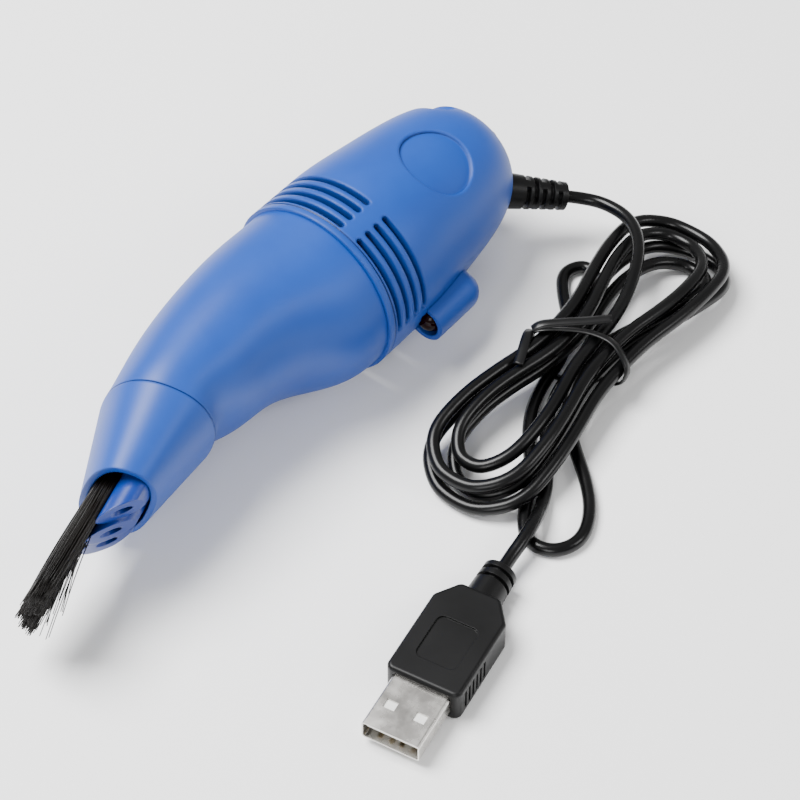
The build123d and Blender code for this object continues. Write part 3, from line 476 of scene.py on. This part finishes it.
# how far each lobe swings sideways and falls short, one after the other along the cord
lobe_swing = [
    (1.0, 1.6),
    (3.0, -0.2),
    (0.6, 0.0),
    (2.6, 0.0),
    (-0.6, 0.2),
    (-2.4, 0.0),
    (-1.0, 0.6),
    (-2.8, 0.6),
]
lead_route = [
    (66.4, -27.4, 10.9),
    (65.2, -34.6, 11.5),
    (59.8, -40.8, 11.9),
    (51.4, -45.2, 11.5),
    (41.8, -48.0, 10.2),
]
tail_route = [
    (20.6, -50.4, 4.0),
    (15.2, -54.2, 1.8),
    (10.6, -59.4, 1.4),
    (5.6, -65.6, 1.4),
    (-0.6, -71.0, 1.4),
    (-7.6, -73.6, 1.4),
    (-13.4, -70.8, 1.4),
    (-14.4, -64.8, 1.4),
    (-8.6, -60.2, 1.4),
    (0.6, -55.6, 1.4),
    (9.6, -47.8, 1.4),
    (19.4, -43.4, 1.7),
    (30.5, -42.2, 2.3),
    (39.2, -37.6, 1.9),
    (45.6, -31.2, 1.4),
    (51.4, -27.0, 1.4),
    (56.6, -30.0, 1.4),
    (53.6, -35.6, 1.4),
    (46.6, -40.0, 1.6),
    (38.6, -44.2, 2.0),
    (30.0, -46.0, 2.3),
    (20.2, -47.0, 1.7),
    (10.6, -51.6, 1.4),
    (1.6, -58.8, 1.4),
    (-5.6, -62.6, 2.2),
    (-11.2, -64.6, 4.4),
    (-16.4, -65.7, 4.7),
]


def hank_point(i):
    """Control point of the hank: lobe by lobe, spiralling out on top and in again below."""
    quarter, at = divmod(i, quarter_points)
    returning = quarter % 2 == 1
    lower = quarter % 4 in (0, 1)
    side = -1 if quarter % 4 in (0, 3) else 1
    turn = i / (4 * quarter_points)
    half = hank_turns / 2
    inset = hank_step * abs(turn - half)
    fall = min(1, max(0, (turn - half + layer_change / 2) / layer_change))
    layer = upper_layer + (lower_layer - upper_layer) * fall
    swing, short = lobe_swing[min(quarter // 2, len(lobe_swing) - 1)]
    waist = hank_inner_waist + hank_step * half - inset
    wide = hank_lobe_half_width - inset
    reach = (hank_lower_reach if lower else hank_upper_reach) - inset - short
    step = quarter_points - at if returning else at
    along, out, droop = (lobe_flank + lobe_end)[step]
    across = waist + (wide - waist) * out if step < len(lobe_flank) else wide * out
    x = hank_waist[0] + (-1 if lower else 1) * along * reach
    y = hank_waist[1] + side * across + swing * along * along
    return Vector((x, y, layer - hank_droop * droop))


relief_down = sin(relief_angle)
relief_out = Vector(
    (cos(relief_angle), -relief_down * cos(body_roll), -relief_down * sin(body_roll))
)
relief_end = relief_origin + relief_out * (relief_seat + relief_length)
plug_axis = Vector((cos(plug_heading), sin(plug_heading), 0))
plug_length = plug_grip_length + plug_shoulder_length + plug_neck_length
plug_back = plug_grip_front - plug_axis * plug_length
route = [relief_end, relief_end + relief_out * cord_run_in]
route += [Vector(at) for at in lead_route]
route += [hank_point(i) for i in range(4 * quarter_points * hank_turns + 1)]
route += [Vector(at) for at in tail_route]
route += [plug_back - plug_axis * cord_run_in, plug_back]

curve = bpy.data.curves.new("cord", "CURVE")
curve.dimensions = "3D"
curve.bevel_depth = cord_diameter / 2000
curve.bevel_resolution = 6
curve.resolution_u = 8
curve.use_fill_caps = True
spline = curve.splines.new("NURBS")
spline.points.add(len(route) - 1)
for point, at in zip(spline.points, route):
    point.co = (*place(*at), 1.0)
spline.order_u = 3
spline.use_endpoint_u = True
cord = add_piece("cord", curve, cord_skin)
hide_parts("cord_lead", "cord_hank", "cord_tail")

# Twist tie: a thin strip round the waist, with two free ends on the side towards the body
tie_half_width = 1.05
tie_edge_half = 0.14
tie_wire_half_width = 0.4
tie_wire_half = 0.32
tie_wound = [
    (24.8, -37.4, 8.5),
    (25.2, -37.7, 10.6),
    (26.2, -39.2, 11.75),
    (28.4, -42.0, 12.0),
    (30.8, -46.0, 12.05),
    (32.0, -50.0, 12.05),
    (32.0, -53.4, 11.75),
    (31.0, -56.2, 10.6),
    (30.0, -58.1, 9.0),
    (29.2, -58.3, 7.2),
    (28.6, -57.3, 5.4),
    (28.2, -54.6, 4.2),
    (27.8, -52.2, 3.8),
    (27.4, -49.7, 3.1),
    (27.0, -48.2, 2.0),
    (26.6, -46.4, 0.75),
    (26.0, -44.0, 0.55),
    (25.4, -41.2, 0.75),
    (25.0, -39.3, 2.1),
    (24.8, -38.1, 4.0),
    (24.7, -37.5, 6.2),
    (24.8, -37.3, 8.7),
]
tie_upper_end = [
    (25.2, -37.4, 11.5),
    (26.6, -38.6, 12.6),
    (29.6, -42.0, 13.0),
    (33.0, -46.0, 13.2),
    (36.4, -49.6, 13.4),
]
tie_lower_end = [
    (25.4, -36.9, 10.7),
    (23.4, -37.5, 11.7),
    (20.6, -38.7, 12.0),
    (17.6, -40.0, 11.8),
    (15.4, -40.9, 11.6),
]


def smooth_path(points, steps):
    """Smooth line through points, with a number of steps from each to the next."""
    points = [Vector(at) for at in points]
    last = len(points) - 1
    path = []
    for i in range(last):
        before, first = points[max(i - 1, 0)], points[i]
        second, after = points[i + 1], points[min(i + 2, last)]
        for step in range(steps):
            t = step / steps
            bend = before * (-t + 2 * t * t - t**3) + first * (2 - 5 * t * t + 3 * t**3)
            path.append((bend + second * (t + 4 * t * t - 3 * t**3) + after * (t**3 - t * t)) / 2)
    return path + [points[-1]]


def strip_section(_):
    """Flat strip with a wire's swelling along its middle, the same all along."""
    upper = [
        (-tie_half_width, tie_edge_half),
        (-tie_wire_half_width, tie_wire_half),
        (tie_wire_half_width, tie_wire_half),
        (tie_half_width, tie_edge_half),
    ]
    return upper + [(a, -b) for a, b in reversed(upper)]


for name, points, steps, across in (
    ("tie_strip", tie_wound, 4, (0.9, 0.0, -0.35)),
    ("tie_upper_end", tie_upper_end, 5, (0.73, 0.68, 0.1)),
    ("tie_lower_end", tie_lower_end, 5, (-0.37, 0.93, 0.0)),
):
    strip = sweep_mesh(name, [smooth_path(points, steps)], strip_section, Vector(across))
    add_piece(name, strip, tie_skin)
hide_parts("twist_tie")

# Brush: fine strands that spread a little, bend, draw together in clumps and end raggedly.
# p is across the mouth, q towards the belly and r out of the mouth.
chance = random.Random(11)
tip_angle = radians(16.0)
tip_origin = Vector((-65.7, 0.0, -5.4))
tip_q = Vector((sin(tip_angle), 0.0, -cos(tip_angle)))
tip_r = Vector((-cos(tip_angle), 0.0, -sin(tip_angle)))
brush_root = -1.7
brush_length = 31.5
brush_low = -1.5
brush_depth = 3.6
brush_half_width = 7.7
brush_crown = 4.6
brush_rows = 13
brush_columns = 52
root_scatter = 0.08
tip_scatter = 0.22
strand_steps = 7
strand_size = 0.15
strand_taper = 0.07
strand_ragged = 2.6
strand_lean = 1.25
strand_bow_p = 0.3
strand_bow_q = 0.25
# how far the tips spread from the roots, and how much of that their clump leaves
fan_p = 1.02
fan_q = 0.55
clump_leaves_p = 0.55
clump_leaves_q = 0.6
clump_rows = 3
clump_columns = 9
clump_spread_p = 1.03
clump_spread_q = 0.45
clump_scatter_p = 0.45
clump_scatter_q = 0.35
clump_ragged = 2.4
clump_evenness = 1.3
stray_share = 0.045
stray_ragged = 3.0
stray_lean = 1.7
stray_p = (-2.5, 3.5)
stray_q = (1.0, 5.0)


def from_tip(p, q, r):
    """Point of a route, given from the mouth."""
    at = tip_origin + tip_q * q + tip_r * r
    return (on_body(at.x, p, at.z) - seam) * 1000


def strand_path(p, q, clump, stray):
    """One strand: a bowed line from its root to a tip drawn towards its clump."""
    height = brush_low - q
    clump_p, clump_q, clump_short = clump
    length = brush_length - clump_short - strand_ragged * chance.random() ** 2
    if stray:
        length -= stray_ragged * chance.random()
    end_p = clump_p + (p * fan_p - clump_p) * clump_leaves_p + chance.gauss(0, tip_scatter)
    end_q = clump_q + (q - fan_q * height - clump_q) * clump_leaves_q + chance.gauss(0, tip_scatter)
    if stray:
        end_p += chance.uniform(*stray_p)
        end_q += chance.uniform(*stray_q)
    bow_p = chance.gauss(0, strand_bow_p)
    bow_q = chance.gauss(0, strand_bow_q)
    path = []
    for i in range(strand_steps + 1):
        share = i / strand_steps
        lean = share ** (stray_lean if stray else strand_lean)
        bow = 4 * share * (1 - share)
        at_p = p + (end_p - p) * lean + bow_p * bow
        at_q = q + (end_q - q) * lean + bow_q * bow
        path.append(from_tip(at_p, at_q, brush_root + length * share))
    return path


def strand_section(share):
    """Four-sided section that narrows to the tip."""
    size = strand_size - strand_taper * share
    return [(size, 0), (0, size), (-size, 0), (0, -size)]


clumps = []
for row in range(clump_rows):
    q = brush_low - clump_spread_q * (row + 0.5) / clump_rows * brush_depth
    for column in range(clump_columns):
        p = ((column + 0.5) / clump_columns * 2 - 1) * brush_half_width * clump_spread_p
        clump_p = p + chance.gauss(0, clump_scatter_p)
        clump_q = q + chance.gauss(0, clump_scatter_q)
        clumps.append((clump_p, clump_q, clump_ragged * chance.random() ** clump_evenness))
strands = []
for row in range(brush_rows):
    height = (row + 0.5) / brush_rows * brush_depth
    half_width = brush_half_width * sqrt(1 - (height / brush_crown) ** 2)
    count = round(brush_columns * half_width / brush_half_width)
    clump_row = row * clump_rows // brush_rows
    for column in range(count):
        across = (column + 0.5) / count
        p = (across * 2 - 1) * half_width + chance.uniform(-root_scatter, root_scatter)
        q = brush_low - height + chance.uniform(-root_scatter, root_scatter)
        clump = clumps[clump_row * clump_columns + int(across * clump_columns)]
        strands.append(strand_path(p, q, clump, chance.random() < stray_share))
brush_mesh = sweep_mesh("brush_strands", strands, strand_section, Vector((0, 1, 0.3)))
brush = add_piece("brush_strands", brush_mesh, bristle, body="nozzle")
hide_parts("bristles")

# Floor and light
floor_corners = [(-6, -6, 0), (6, -6, 0), (6, 6, 0), (-6, 6, 0)]
floor_mesh = bpy.data.meshes.new("floor")
floor_mesh.from_pydata(floor_corners, [], [(0, 1, 2, 3)])
floor = link_object("floor", floor_mesh)
paper, _, paper_shader = new_material("floor_paper")
paper_shader.inputs["Base Color"].default_value = (0.95, 0.95, 0.95, 1)
paper_shader.inputs["Roughness"].default_value = 0.9
paper_shader.inputs["Specular IOR Level"].default_value = 0.1
floor_mesh.materials.append(paper)

light_target = Vector((0.0, -0.02, 0.02))
for name, at, size, power in (
    ("key", (-0.15, 0.35, 0.8), 0.5, 21.0),
    ("fill", (0.35, -0.75, 0.6), 0.3, 2.6),
    ("front", (-0.8, -0.45, 0.55), 0.4, 4.0),
):
    light = bpy.data.lights.new(name, "AREA")
    light.size = size
    light.energy = power
    face(link_object(name, light), Vector(at), light_target)
world = bpy.data.worlds.new("studio")
world.use_nodes = True
sky = world.node_tree.nodes["Background"]
sky.inputs["Color"].default_value = (1, 1, 1, 1)
sky.inputs["Strength"].default_value = 0.5
scene.world = world
